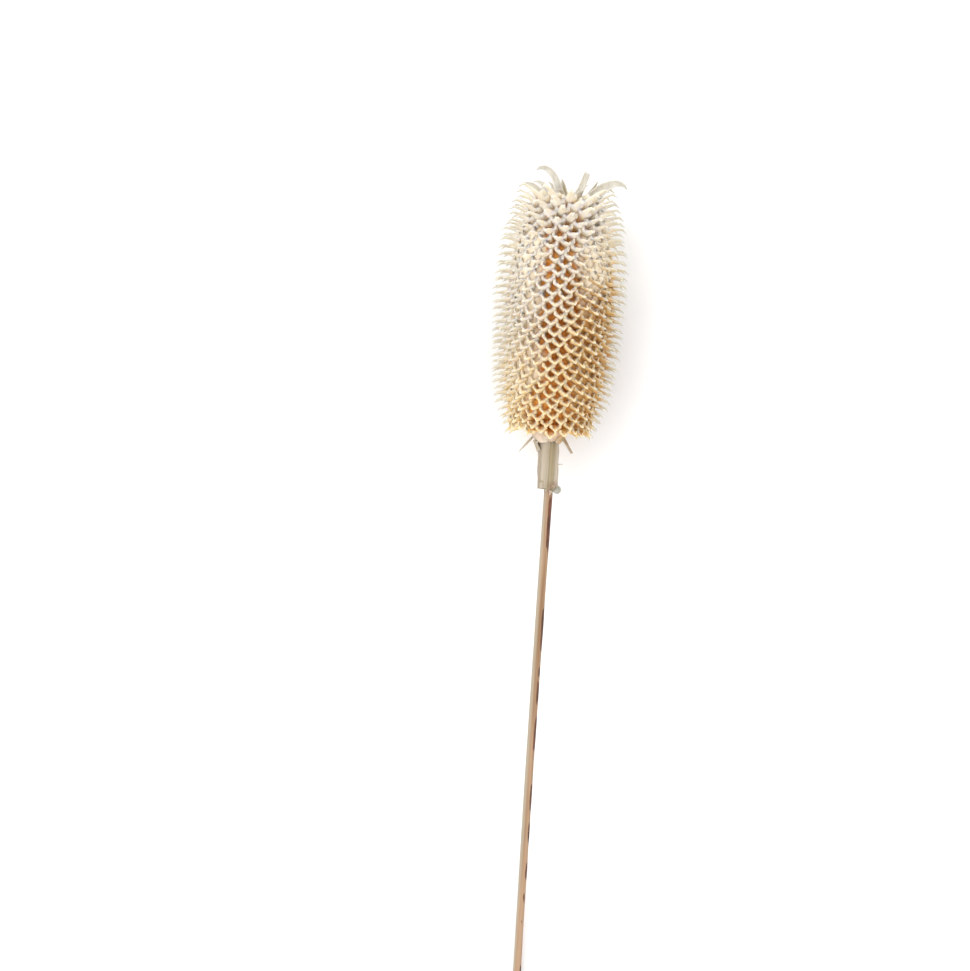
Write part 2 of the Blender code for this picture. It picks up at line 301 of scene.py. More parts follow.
stick_wood, tree, place = new_material("peeled_twig")
across = (place.axis("X") - stick_start.x) * (1 / STICK_TOP_RADIUS)
along = place.axis("Y") - start_along
grain = place.mottle(0.0003, 4.0, (1, 0.03, 1))
streaks = place.mottle(0.0011, 3.0, (1, 0.035, 1))
flecks = place.mottle(0.0007, 3.0, (1, 0.35, 1))
ragged = place.mottle(0.0012, 5.0, (1, 0.22, 1))
bark = (attribute(tree, "bark") + (ragged - 0.5) * 2.4).between(0.46, 0.60)
wood = streaks.between(0.35, 0.68).colour(paint(142, 108, 76), paint(176, 144, 114))
grey_side = (across + (streaks - 0.5) * 0.7).between(-0.30, -0.72)
wood = (grey_side * 0.85).colour(wood, paint(166, 154, 134))
red_side = (across + (grain - 0.5) * 0.5).between(0.52, 0.95)
wood = (red_side * 0.65).colour(wood, paint(122, 70, 44))
wood = (grain.between(0.42, 0.30) * 0.30).colour(wood, paint(120, 82, 54))
dusty = streaks.between(0.4, 0.6).colour(paint(150, 138, 112), paint(190, 180, 152))
wood = along.between(*IN_THE_SPLIT).colour(wood, dusty)
dark = flecks.between(0.3, 0.7).colour(paint(62, 32, 17), paint(108, 62, 36))
set_surface(
    stick_wood,
    tree,
    {
        "Base Color": bark.colour(wood, dark),
        "Roughness": 0.5 + grain * 0.25,
        "Normal": bump(tree, grain * 0.5 + bark * 0.5, 0.0001, 0.7),
    },
)
add_piece("peeled_stick", bm, stick_frame, stick_wood, ["stick"])

# ------------------------------------------------------------------------------------------ stalk stub
# What is left of the plant's own stalk: a ribbed, fibrous tube, cut square. It split along its upper side
# when the stick was pushed in. A scar and a few low lumps are left on it.

STUB_END_RADIUS = 0.00335
STUB_TOP_RADIUS = 0.0035
STUB_BORE = 0.00186
STUB_RINGS = 26
STUB_OUTER_POINTS = 56
STUB_INNER_POINTS = 18
SPLIT_WIDTH = 0.0022
SPLIT_TURN = math.radians(10)
SPLIT_WANDER = 0.10  # how much its width changes along it,
SPLIT_WAVES = 5  # and in how many waves
STUB_RIBS = 13
STUB_RIB_HEIGHT = 0.00010
STUB_RIB_WANDER = 3  # how far the ribs stray to the sides,
STUB_WAVES_ROUND = 2  # in waves this close together round the stub
STUB_WAVES_ALONG = 2.5  # and along it
STUB_LUMP_HEIGHT = 0.00016
STUB_LUMPS_CLOSER = 2.3  # how much closer together than those waves the lumps are
STUB_RAGGED = 0.0007  # how ragged its lower cut is,
STUB_TEARS = 3.3  # how close together its tears are,
STUB_RAGGED_POWER = 6  # and how soon they end above the cut
# The split's floor from its wall to the seam in its middle: share of its half width, and depth.
SPLIT_FLOOR = [(0.94, 0.00036), (0.55, 0.00042), (0.30, 0.00020), (0.03, 0.00018)]
# Scars and lumps on it: degrees from the front, share of its length, radius.
STUB_SCARS = [(-88, 0.54, 0.00050), (-48, 0.10, 0.0013), (-66, 0.17, 0.0008), (26, 0.05, 0.0009)]
SCAR_SUNK = 0.35  # how deep a scar's middle lies, as a share of its radius
SCAR_DENTS = 0.3
DENTS = 1.2  # how close together a lump's dents are
SQUASHED = 0.45  # how far a lump is squashed

stub_low, stub_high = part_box("stalk_stub")
stub_start = along_stick(stub_low.y, STUB_END_RADIUS)
stub_length = along_stick(stub_high.y, -STUB_TOP_RADIUS) - stub_start
stub_end_shift = stub_high.x - STUB_END_RADIUS - stick_start.x
stub_top_shift = stub_low.x + STUB_TOP_RADIUS - stick_start.x


def stub_point(turn, share, depth=0.0):
    """A point on the stub, at a depth below its outer side, though no deeper than its bore."""
    shift = Vector((mix(share, stub_end_shift, stub_top_shift), 0, 0))
    radius = mix(share, STUB_END_RADIUS, STUB_TOP_RADIUS)
    around = Vector((math.sin(turn), math.cos(turn), 0))
    waves = around * STUB_WAVES_ROUND + Vector((0, 0, share * STUB_WAVES_ALONG))
    ribs = STUB_RIB_HEIGHT * math.cos(STUB_RIBS * turn + STUB_RIB_WANDER * noise.noise(waves))
    lumps = STUB_LUMP_HEIGHT * noise.noise(waves * STUB_LUMPS_CLOSER)
    side = outward(turn)
    towards = side.dot(shift)
    outer = towards + math.sqrt(towards**2 - shift.length_squared + (radius + ribs + lumps) ** 2)
    torn = noise.noise(around * STUB_TEARS + Vector((0, 0, 7)))
    height = stub_start + stub_length * share + STUB_RAGGED * torn * (1 - share) ** STUB_RAGGED_POWER
    return side * max(STUB_BORE, outer - depth) + Vector((0, 0, height))


def lump(bm, middle, radius, squash, dents):
    """A rounded lump, squashed along a direction and dented a little, each in its own way."""
    own_dents = middle * 1000
    made = bmesh.ops.create_icosphere(bm, subdivisions=3, radius=radius)["verts"]
    for vertex in made:
        vertex.co *= 1 + dents * noise.noise(vertex.co / radius * DENTS + own_dents)
        vertex.co -= squash * vertex.co.dot(squash) * SQUASHED
        vertex.co += middle


def stub_outline(share):
    """The corners of a section of the stub, each with how surely it is on the split's floor."""
    width = SPLIT_WIDTH * (1 + SPLIT_WANDER * noise.noise(Vector((share * SPLIT_WAVES, 0, 3))))
    opening = math.asin(width / 2 / stub_point(SPLIT_TURN, share).xy.length)
    seam = opening * SPLIT_FLOOR[-1][0]
    spots = []
    for step in range(STUB_OUTER_POINTS):
        spots.append((mix(step / (STUB_OUTER_POINTS - 1), opening, math.tau - opening), 0.0, 0.0))
    spots += [(-opening * part, depth, 1.0) for part, depth in SPLIT_FLOOR]
    for step in range(STUB_INNER_POINTS):
        spots.append((mix(step / (STUB_INNER_POINTS - 1), math.tau - seam, seam), STUB_TOP_RADIUS, 1.0))
    spots += [(opening * part, depth, 1.0) for part, depth in reversed(SPLIT_FLOOR)]
    return [(stub_point(SPLIT_TURN + turn, share, depth), split) for turn, depth, split in spots]


bm = bmesh.new()
split_layer = bm.verts.layers.float.new("split")
sections = [stub_outline(ring / STUB_RINGS) for ring in range(STUB_RINGS + 1)]
rings = draw_out(bm, [[point for point, _ in section] for section in sections])
for ring, section in zip(rings, sections):
    for corner, (_, split) in zip(ring, section):
        corner[split_layer] = split
for turn, share, radius in STUB_SCARS:
    turn = math.radians(turn)
    lump(bm, stub_point(turn, share, radius * SCAR_SUNK), radius, outward(turn), SCAR_DENTS)

stalk_fibre, tree, place = new_material("stalk_fibre")
across = (place.axis("X") - stick_start.x) * (1 / STUB_TOP_RADIUS)
along = place.axis("Y") - start_along
fibres = place.mottle(0.00028, 4.0, (1, 0.04, 1))
bands = place.mottle(0.0016, 2.0, (1, 0.06, 1))
pits = place.mottle(0.0006, 2.0)
fresh = bands.between(0.35, 0.65).colour(paint(168, 156, 134), paint(188, 176, 158))
edges = (across * across + (bands - 0.5) * 0.4).between(0.55, 0.95)
fresh = (edges * 0.5).colour(fresh, paint(140, 126, 112))
fresh = (attribute(tree, "split") * 0.7).colour(fresh, paint(158, 142, 106))
low_band = along.between(stub_start + 0.0034, stub_start + 0.0016) * across.between(-0.35, 0.0)
fresh = (low_band * 0.6).colour(fresh, paint(146, 116, 96))
fresh = (fibres.between(0.45, 0.3) * 0.4).colour(fresh, paint(128, 112, 82))
near_cut = along.between(stub_start + 0.004, stub_start + 0.001)
fresh = (near_cut * pits.between(0.52, 0.62) * 0.8).colour(fresh, paint(126, 112, 72))
set_surface(
    stalk_fibre,
    tree,
    {
        "Base Color": fresh,
        "Roughness": 0.6 + fibres * 0.2,
        "Normal": bump(tree, fibres + pits * near_cut, 0.00012, 0.8),
    },
)
add_piece("split_stalk", bm, stick_frame, stalk_fibre, ["stalk_stub"])

# ------------------------------------------------------------------------------------------------ glue
# Hot glue that holds the stalk to the stick: a cloudy bead that ran out beside the stick, and smears
# where the stick goes in.

GLUE_RADIUS = 0.0015
GLUE_UP = Vector((-0.0002, 0.0014, 0))  # how far it crept up beside the stub
GLUE_SAG = Vector((0, 0, 0.5))
GLUE_DENTS = 0.12
# Smears: degrees from the front, distance past the stub's end, radius.
GLUE_SMEARS = [
    (-38, 0.0002, 0.00055),
    (4, -0.0004, 0.0007),
    (30, 0.0006, 0.0008),
    (62, 0.0002, 0.0009),
    (14, 0.0016, 0.0004),
]
SMEAR_DENTS = 0.25

glue_low, glue_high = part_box("glue_bead")
glue_middle = (glue_low + glue_high) / 2 + GLUE_UP
bm = bmesh.new()
lump(bm, glue_middle, GLUE_RADIUS, GLUE_SAG, GLUE_DENTS)
for turn, past, radius in GLUE_SMEARS:
    side = outward(math.radians(turn))
    middle = stick_frame @ (side * STICK_TOP_RADIUS + Vector((0, 0, stub_start - past)))
    lump(bm, middle, radius, stick_frame.to_3x3() @ side, SMEAR_DENTS)

glue_gloss, tree, place = new_material("cloudy_glue")
clouds = place.mottle(0.0009, 3.0)
across = (place.axis("X") - stick_start.x) * (1 / STICK_TOP_RADIUS)
film = across.between(1.1, 0.6)
cloudy = clouds.between(0.35, 0.65).colour(paint(146, 146, 132), paint(182, 180, 168))
cloudy = (film * 0.7).colour(cloudy, paint(206, 178, 158))
set_surface(
    glue_gloss,
    tree,
    {
        "Base Color": cloudy,
        "Roughness": 0.25 + clouds * 0.2,
        "Subsurface Weight": 0.5,
        "Subsurface Radius": (1.0, 0.9, 0.75),
        "Subsurface Scale": 0.0012,
        "Normal": bump(tree, clouds, 0.0001, 0.4),
    },
)
add_piece("glue_bead_and_smears", bm, Matrix.Identity(4), glue_gloss, ["glue_bead"])

# ------------------------------------------------------------------------------------------ receptacle
# The swollen woody end of the stalk, which all the bracts stand on, under the dry remains of the florets.
# Along the upper side these have fallen out, and the cells are deep and orange; the others are nearly full.

HEAD_SWING = math.radians(0.65)  # how far the head leans to one side of the stick
CRUST = 0.0040  # thickness of the dry remains of the florets on the receptacle,
CRUST_FROM = (0.002, 0.008)  # the heights over which it starts,
CRUST_GROWTH = 0.0014  # how much thicker it is towards the crown,
CRUST_GROWS = (0.035, 0.060)  # and the heights over which it gets so
CHAFF = 0.0021  # how much more there is where the chaff is still in,
CHAFF_FROM = (0.006, 0.016)
CHAFF_UP_TO = (0.066, 0.074)
CHAFF_GROWTH = 0.0008
CHAFF_GROWS = (0.045, 0.058)
CHAFF_GONE = (0.84, 0.985)  # how far round to the upper side, as a cosine, it starts to be gone and is gone
CHAFF_EDGE = 0.12  # how uneven that edge is,
CHAFF_EDGE_LENGTH = 0.006  # in stretches of this length
CRUMBS = 0.04  # how uneven the surface is, as a share of its radius
CRUMB_LENGTH = 0.0016
CORE_RADIUS = 0.0095
CORE_WIDEST = 0.036
CORE_BELOW = 0.048
CORE_ABOVE = 0.040
CORE_NECK_RADIUS = 0.0034
CORE_NECK_HEIGHT = 0.0003
CORE_COLLAR_RADIUS = 0.0058
CORE_COLLAR_HEIGHT = 0.0012
CORE_SIDES = 64
CORE_STEPS = 40

core_low, core_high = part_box("receptacle")
head_shift = (core_low.x + core_high.x) / 2 - stick_start.x - CORE_WIDEST * math.sin(HEAD_SWING)
head_start = along_stick(core_low.y, CORE_NECK_RADIUS) - CORE_NECK_HEIGHT
head_frame = (
    stick_frame @ Matrix.Translation((head_shift, 0, head_start)) @ Matrix.Rotation(HEAD_SWING, 4, "Y")
)


def half_ellipses(height, widest, below, above, radius):
    """Radius at a height, of a body of two half ellipses that meet at its widest place."""
    reach = below if height < widest else above
    return radius * math.sqrt(max(0.0, 1 - ((height - widest) / reach) ** 2))


def core_radius(height):
    return half_ellipses(height, CORE_WIDEST, CORE_BELOW, CORE_ABOVE, CORE_RADIUS)


bm = bmesh.new()
outline = [bm.verts.new((0, 0, CORE_NECK_HEIGHT)), bm.verts.new((CORE_NECK_RADIUS, 0, CORE_NECK_HEIGHT))]
outline.append(bm.verts.new((CORE_COLLAR_RADIUS, 0, CORE_COLLAR_HEIGHT)))
top = CORE_WIDEST + CORE_ABOVE
for step in range(2, CORE_STEPS):
    height = top * math.sin(math.pi / 2 * step / CORE_STEPS)
    thickness = CRUST * ease(height, *CRUST_FROM) + CRUST_GROWTH * ease(height, *CRUST_GROWS)
    outline.append(bm.verts.new((core_radius(height) + thickness, 0, height)))
outline.append(bm.verts.new((0, 0, top)))
edges = [bm.edges.new(pair) for pair in zip(outline, outline[1:])]
bmesh.ops.spin(
    bm,
    geom=outline + edges,
    cent=(0, 0, 0),
    axis=(0, 0, 1),
    angle=math.tau,
    steps=CORE_SIDES,
    use_merge=True,
)
bmesh.ops.remove_doubles(bm, verts=bm.verts, dist=1e-6)
chaff_layer = bm.verts.layers.float.new("chaff")
for vertex in bm.verts:
    away = max(vertex.co.xy.length, 1e-6)
    uneven = CHAFF_EDGE * noise.noise(vertex.co / CHAFF_EDGE_LENGTH)
    left_in = 1 - ease(-vertex.co.y / away + uneven, *CHAFF_GONE)
    left_in *= ease(vertex.co.z, *CHAFF_FROM) * (1 - ease(vertex.co.z, *CHAFF_UP_TO))
    vertex[chaff_layer] = left_in
    thickness = (CHAFF + CHAFF_GROWTH * ease(vertex.co.z, *CHAFF_GROWS)) * left_in
    vertex.co.xy *= (1 + thickness / away) * (1 + CRUMBS * noise.noise(vertex.co / CRUMB_LENGTH))

core_crust, tree, place = new_material("core_crust")
along = place.axis("Y") - (start_along + head_start)
crumbs = place.mottle(0.0008, 4.0)
aside = (place.axis("X") - (stick_start.x + head_shift)) * (1 / CORE_RADIUS)
orange = crumbs.between(0.35, 0.65).colour(paint(214, 130, 42), paint(240, 182, 96))
straw = crumbs.between(0.35, 0.65).colour(paint(222, 206, 178), paint(238, 226, 204))
ochre = crumbs.between(0.35, 0.65).colour(paint(180, 130, 66), paint(204, 160, 98))
# Painted shade: on the lower right of the head, away from the light, the chaff is painted a darker ochre.
chaff_shaded_right = (aside + crumbs - 0.5).between(0.10, 0.55)
chaff_shaded_right = chaff_shaded_right * (along + (crumbs - 0.5) * 0.01).between(0.054, 0.038)
chaff = chaff_shaded_right.colour(straw, ochre)
remains = (attribute(tree, "chaff") + (crumbs - 0.5) * 0.5).between(0.25, 0.75).colour(orange, chaff)
remains = along.between(0.068, 0.074).colour(remains, paint(214, 204, 180))
pink = crumbs.between(0.3, 0.7).colour(paint(188, 152, 122), paint(206, 178, 150))
remains = along.between(0.0045, 0.0025).colour(remains, pink)
set_surface(
    core_crust,
    tree,
    {
        "Base Color": remains,
        "Roughness": 0.7 + crumbs * 0.2,
        "Normal": bump(tree, crumbs, 0.0003, 0.8),
    },
)
add_piece("head_core", bm, head_frame, core_crust, ["receptacle"])

# ------------------------------------------------------------------------------------- rows of bracts
# The small papery bracts of the head, each a folded scoop with a stiff hooked spine. They grew one golden
# angle after another, and every twenty-one make one turn of the pattern. On the flanks the turns were
# pressed into level rows, and along the upper side the spines are worn short.

RIM_RADIUS = 0.0174
RIM_WIDEST = 0.042
RIM_BELOW = 0.0564
RIM_ABOVE = 0.049
GOLDEN_ANGLE = math.radians(137.508)
ROWS = 32
BRACTS_PER_ROW = 21
FIRST_RIM = 0.0025  # height of the lowest rim
TURN_SPREAD = 0.018  # chance differences in where a bract stands: round the head,
RIM_SPREAD = 0.00010  # in height,
KNEE_SPREAD = 0.0002  # and outwards
FLANKS = (0.70, 0.93)  # how far round to the sides, as a sine, the rows start to be level and are level
LEVEL_UP_TO = (0.056, 0.070)  # the heights over which that ends
EVEN_ANGLE = math.tau * 8 / BRACTS_PER_ROW  # from one bract to the next in a row that stands level
LEAST_AREA = 7.0e-6  # what the lowest bract takes of the head's surface,
AREA_GROWTH = 7.0e-6  # and how much more one at the height of AREA_SPAN takes
AREA_SPAN = 0.075
AREA_POWER = 0.6
USUAL_AREA = 12.0e-6  # the area that the sizes in SCOOP and SPINE are for
LEVEL_HEIGHT = 0.015  # the height at which a scoop stands out level
RIM_LIFT = 0.005  # how far the highest rims stand above their feet,
LIFT_SPAN = 0.061
EVEN_LIFT = 0.2  # the share of it that grows evenly with the height,
LIFT_POWER = 4  # and how late the rest comes
DROOP = 0.0022  # how far the feet of the lowest bracts stand above their rims,
BASE_SAG = 0.0018  # how much lower these rims hang,
DROOP_SPAN = 0.016  # and the height where both end
SPINE_LENGTH = 0.0052
SPINE_GROWTH = 0.0036  # how much longer the highest spines are; the other growths are meant so too
SPINE_LENGTH_SPREAD = 0.05
SPINE_RISE = math.radians(4)  # how much more steeply than its scoop a spine starts
SPINE_RISE_GROWTH = math.radians(26)
SPINE_RISE_SPREAD = 0.04
SPINE_BEND = math.radians(62)
SPINE_BEND_GROWTH = math.radians(80)
SPINE_BEND_SPREAD = 0.06
SPINE_SWAY = 0.08  # how far a tip leans to one side, as a share of the spine's length
SPINE_HOOK = 1.5  # how much of its bend a spine keeps for its tip
SHORT_SHARE = 0.6  # the length that the lowest spines have of the usual one,
SHORT_UP_TO = (0.003, 0.016)  # and the heights over which that ends
WORN_SHARE = 0.42  # the length that is left of the worn spines,
WORN_FROM = (0.22, 0.50)  # how far round to the upper side, as a cosine, they start to be so,
WORN_UP_TO = (0.066, 0.077)  # and the heights over which that ends
THIN_SHARE = 0.62  # how thin the scoops' walls are at the sides,
THIN_FROM = (0.25, 0.70)  # and how far round, as a sine, they start to be so
BELLY_UP = 0.42  # how high a scoop is widest, as a share of the height of its wings
SCOOP_SAG = 0.0006  # how far its keel hangs below a straight line
TWIST_SPREAD = 0.10
LOPSIDED_SPREAD = 0.12
FOOT_IN = 0.0006  # how deep a bract's foot stands in the receptacle
FLOOR_SOFTNESS = 0.0008  # the height below which tips are bent up
HEAD_HEIGHT = 0.078  # how far up the bracts reach, for their colours

# Sections of a bract: share of the scoop's length, half width, height of the wings, how far their rims
# stand from the middle as a share of the half width, how full the scoop is, and the thickness of its wall.
SCOOP = [
    (0.00, 0.00065, 0.00110, 0.90, 1.00, 0.00050),
    (0.40, 0.00128, 0.00160, 0.95, 1.00, 0.00060),
    (0.62, 0.00165, 0.00200, 1.00, 1.00, 0.00070),
    (0.92, 0.00194, 0.00225, 0.98, 0.35, 0.00084),
    (1.00, 0.00186, 0.00200, 0.98, 0.10, 0.00080),
]
# And the same for its spine, with the step of the hooked path in place of the share, and its tip.
SPINE_STEPS = 12
SPINE = [
    (1, 0.00092, 0.00090, 0.9, 0.0, 0.00064),
    (3, 0.00056, 0.00046, 1.0, 0.0, 0.00054),
    (8, 0.00038, 0.00026, 1.0, 0.0, 0.00044),
    (SPINE_STEPS, 0, 0, 0, 0, 0),
]
SPINE_SHARE = 0.6  # where the spine starts, in the bract's `along` attribute


def rim_radius(height):
    return half_ellipses(height, RIM_WIDEST, RIM_BELOW, RIM_ABOVE, RIM_RADIUS)


def bract_area(height):
    return LEAST_AREA + AREA_GROWTH * (height / AREA_SPAN) ** AREA_POWER


def rim_heights(count):
    """Height of each bract's rim in growing order: each takes its own area of the head's surface."""
    heights = []
    height = FIRST_RIM
    for _ in range(count):
        heights.append(height)
        height += bract_area(height) / (math.tau * rim_radius(height))
    return heights


def lift(height):
    """How far the rim at this height stands above its foot."""
    share = (height - LEVEL_HEIGHT) / LIFT_SPAN
    hang = max(0.0, 1 - height / DROOP_SPAN)
    return RIM_LIFT * (EVEN_LIFT * share + (1 - EVEN_LIFT) * share**LIFT_POWER) - DROOP * hang**2


def hooked_path(rise, bend, reach, hook, steps):
    """Out, up and angle at each step of a stem that leaves at an angle above the level and hooks down."""
    out = up = 0.0
    places = []
    for step in range(steps + 1):
        angle = rise - bend * (step / steps) ** hook
        places.append((out, up, angle))
        out += math.cos(angle) * reach / steps
        up += math.sin(angle) * reach / steps
    return places


def fold(width, wing, lean, fill, wall, lopsided=0.0):
    """The corners of a folded section, across and over it, with how near the rim each is: out round the keel
    from one wing's rim to the other's, and back inside."""
    half = wall / 2
    sides = []
    for side in (-1, 1):
        high = wing * (1 - side * lopsided)
        rim = side * width * lean
        belly = side * width
        outer = [(rim + side * half, high, 1.0), (belly + side * half, high * BELLY_UP, 0.4)]
        inner = [(belly - side * half, high * BELLY_UP, 0.4), (rim - side * half, high, 1.0)]
        sides.append((outer, inner))
    (left_outer, left_inner), (right_outer, right_inner) = sides
    outside = left_outer + [(0, -wall, 0.0)] + right_outer[::-1]
    inside = right_inner[::-1] + [(0, max(half, wing * fill), 0.0)] + left_inner
    return outside + inside


def grow_bract(bm, layers, turn, rim, draw):
    """One scoop with its spine, in the head's frame. `draw` gives this bract's own chance differences."""
    size = math.sqrt(bract_area(rim) / USUAL_AREA)
    radial = outward(turn)
    upright = Vector((0, 0, 1))
    sideways = upright.cross(radial)
    crownward = max(0.0, (rim - RIM_WIDEST) / RIM_ABOVE)

    foot_height = rim - lift(rim)
    foot_away = core_radius(foot_height) - FOOT_IN
    knee_away = rim_radius(rim) + draw.gauss(0, KNEE_SPREAD)
    knee_height = rim - BASE_SAG * max(0.0, 1 - rim / DROOP_SPAN) ** 2
    slope = math.atan2(knee_height - foot_height, knee_away - foot_away)
    rise = slope + SPINE_RISE + SPINE_RISE_GROWTH * crownward + draw.gauss(0, SPINE_RISE_SPREAD)
    bend = (SPINE_BEND + SPINE_BEND_GROWTH * crownward) * (1 + draw.gauss(0, SPINE_BEND_SPREAD))
    length = (SPINE_LENGTH + SPINE_GROWTH * crownward) * (1 + draw.gauss(0, SPINE_LENGTH_SPREAD))
    length *= mix(ease(rim, *SHORT_UP_TO), SHORT_SHARE, 1.0)
    worn = ease(math.cos(turn), *WORN_FROM) * (1 - ease(rim, *WORN_UP_TO))
    length *= mix(worn, 1.0, WORN_SHARE)
    sway = draw.gauss(0, SPINE_SWAY)
    thin = mix(ease(abs(math.sin(turn)), *THIN_FROM), 1.0, THIN_SHARE)
    twist = draw.gauss(0, TWIST_SPREAD)
    lopsided = draw.gauss(0, LOPSIDED_SPREAD)
    tone = draw.random()

    stations = []
    for share, width, wing, lean, fill, wall in SCOOP:
        sag = SCOOP_SAG * math.sin(math.pi * share)
        middle = (mix(share, foot_away, knee_away), mix(share, foot_height, knee_height) - sag, 0.0)
        section = (width * size, wing * size, lean, fill, wall * thin)
        stations.append((middle, slope, section, share * SPINE_SHARE))
    path = hooked_path(rise, bend, length, SPINE_HOOK, SPINE_STEPS)
    for step, width, wing, lean, fill, wall in SPINE:
        out, up, angle = path[step]
        share = step / SPINE_STEPS
        middle = (knee_away + out, knee_height + up, sway * length * share**2)
        section = (width * size, wing * size, lean, fill, wall)
        stations.append((middle, angle, section, mix(share, SPINE_SHARE, 1.0)))

    outlines = []
    for (away, height, aside), angle, section, _ in stations:
        middle = radial * away + upright * height + sideways * aside
        over = upright * math.cos(angle) - radial * math.sin(angle)
        across = sideways * math.cos(twist) + over * math.sin(twist)
        over = over * math.cos(twist) - sideways * math.sin(twist)
        corners = fold(*section, lopsided)
        outlines.append([middle + across * aside + over * above for aside, above, _ in corners])
    rings = draw_out(bm, outlines[:-1], outlines[-1][0])
    for ring, station in zip(rings, stations):
        for corner, (_, _, edge) in zip(ring, fold(1, 1, 1, 0, 1)):
            corner[layers["along"]] = station[-1]
            corner[layers["edge"]] = edge
            corner[layers["tone"]] = tone


def lay_on_floor(bm, place):
    """What would reach into the surface is bent up onto it."""
    back = place.inverted()
    for vertex in bm.verts:
        spot = place @ vertex.co
        if spot.z < FLOOR_SOFTNESS:
            spot.z = FLOOR_SOFTNESS * math.exp(spot.z / FLOOR_SOFTNESS - 1)
            vertex.co = back @ spot


def bract_layers(bm):
    return {name: bm.verts.layers.float.new(name) for name in ("along", "edge", "tone")}


bract_paper, tree, place = new_material("bract_paper")
along = attribute(tree, "along")
edge = attribute(tree, "edge")
tone = attribute(tree, "tone")
height = (place.axis("Y") - (start_along + head_start)) * (1 / HEAD_HEIGHT)
aside = (place.axis("X") - (stick_start.x + head_shift)) * (1 / RIM_RADIUS)
mottled = place.mottle(0.0012, 4.0)
veins = place.mottle(0.0003, 3.0)
shift = (mottled - 0.5) * 0.4
# Painted light: the paper is paler towards the top and the left of the head, where the light from the upper
# left falls.
lit_from_upper_left = (height + shift - aside * 0.30).between(0.25, 0.80)
# Painted light: on the lit left side the hollows of the scoops are painted pale in place of golden.
lit_left_side = (aside * -1.0 + shift).between(0.10, 0.60)
# Painted shade: on the lower right flank, away from the light, the faces of the scoops are painted a darker
# ochre.
shaded_right_side = (aside + shift * 0.5).between(0.15, 0.60) * (height + shift).between(0.85, 0.55)
golden = tone.colour(paint(236, 160, 66), paint(248, 196, 112))
deep = (lit_left_side * 0.95).colour(golden, paint(236, 222, 198))
sides_above = (aside * aside).between(0.04, 0.30) * (height + shift * 0.5).between(0.50, 0.72)
deep = sides_above.colour(deep, paint(236, 228, 210))
low_tone = tone.colour(paint(228, 190, 136), paint(238, 206, 160))
high_tone = tone.colour(paint(224, 209, 190), paint(236, 223, 208))
face = lit_from_upper_left.colour(low_tone, high_tone)
face = (shaded_right_side * 0.9).colour(face, tone.colour(paint(176, 128, 62), paint(196, 150, 86)))
outward_share = (along + (mottled - 0.5) * 0.10).between(0.34, 0.56)
paper = outward_share.colour(deep, face)
pale = lit_from_upper_left.colour(paint(238, 208, 166), paint(232, 216, 196))
paper = (edge.between(0.50, 1.0) * along.between(0.28, 0.46) * 0.9).colour(paper, pale)
# Painted shade: the spines are painted greyer towards the head's left and right edges, where they are seen
# side-on in its outline.
spine_shade_grey = (aside * aside).between(0.35, 0.80).colour(pale, paint(196, 191, 178))
paper = (along.between(0.64, 0.80) * 0.9).colour(paper, spine_shade_grey)
paper = (veins.between(0.45, 0.3) * 0.18).colour(paper, paint(160, 120, 78))
set_surface(
    bract_paper,
    tree,
    {
        "Base Color": paper,
        "Roughness": 0.55 + mottled * 0.2,
        "Subsurface Weight": 0.8,
        "Subsurface Radius": (1.0, 0.8, 0.5),
        "Subsurface Scale": 0.0030,
        "Normal": bump(tree, veins, 0.00008, 0.6),
    },
)

chance = random.Random(21)
growth_heights = rim_heights(ROWS * BRACTS_PER_ROW)
for row in range(ROWS):
    bm = bmesh.new()
    layers = bract_layers(bm)
    middle = row * BRACTS_PER_ROW + BRACTS_PER_ROW // 2
    row_height = growth_heights[middle]
    for number in range(row * BRACTS_PER_ROW, (row + 1) * BRACTS_PER_ROW):
        flank = ease(abs(math.sin(number * GOLDEN_ANGLE)), *FLANKS)
        level = flank * (1 - ease(row_height, *LEVEL_UP_TO))
        turn = middle * GOLDEN_ANGLE + (number - middle) * mix(level, GOLDEN_ANGLE, EVEN_ANGLE)
        plumb = row_height + rim_radius(row_height) * math.cos(turn) * math.tan(LEAN)
        turn_here = turn + chance.gauss(0, TURN_SPREAD)
        rim_here = mix(level, growth_heights[number], plumb) + chance.gauss(0, RIM_SPREAD)
        grow_bract(bm, layers, turn_here, rim_here, chance)
    lay_on_floor(bm, head_frame)
    node = f"bract_row_{row + 1:02d}"
    add_piece(f"bracts_of_turn_{row + 1:02d}", bm, head_frame, bract_paper, [node])

# ---------------------------------------------------------------------------------------------- crown
# The long soft bracts of the tuft at the top: channelled papery blades, which stand in among the highest
# rows and arch over to fine tips. The third of them has lost its tip.

# Turn from the front, distance of the root from the axis, its height, rise, reach, width, bend, roll, tip
# kept, and how much painted shade it has: a khaki darkening of a blade seen from its shaded side.
# Sizes are in millimetres, angles in degrees.
CROWN = [
    (-66, 1.9, 75.3, 74, 19.6, 5.0, 150, -55, True, 0.0),
    (-110, 0.3, 76.3, 81, 10.4, 2.2, 20, -50, True, 1.0),
    (52, 2.0, 75.2, 64, 15.8, 4.8, -8, 60, False, 0.15),
    (116, 2.9, 74.8, 52, 14.4, 2.6, -20, -50, True, 0.6),
    (96, 3.6, 73.7, 53, 22.4, 5.0, 139, 55, True, 0.15),
    (-93, 3.6, 73.7, 55, 17.8, 3.2, 140, -40, True, 0.3),
    (-130, 2.8, 74.7, 52, 17.4, 3.0, 100, -30, True, 0.2),
    (-150, 3.6, 73.7, 60, 16.0, 2.2, 80, 0, True, 0.4),
    (148, 3.6, 73.7, 60, 16.0, 2.0, 80, 0, True, 0.4),
    (-20, 3.6, 73.7, 76, 11.0, 3.6, 90, 0, True, 0.0),
    (34, 3.6, 73.7, 72, 11.5, 4.2, 90, 0, True, 0.0),
]
BLADE_STEPS = 14
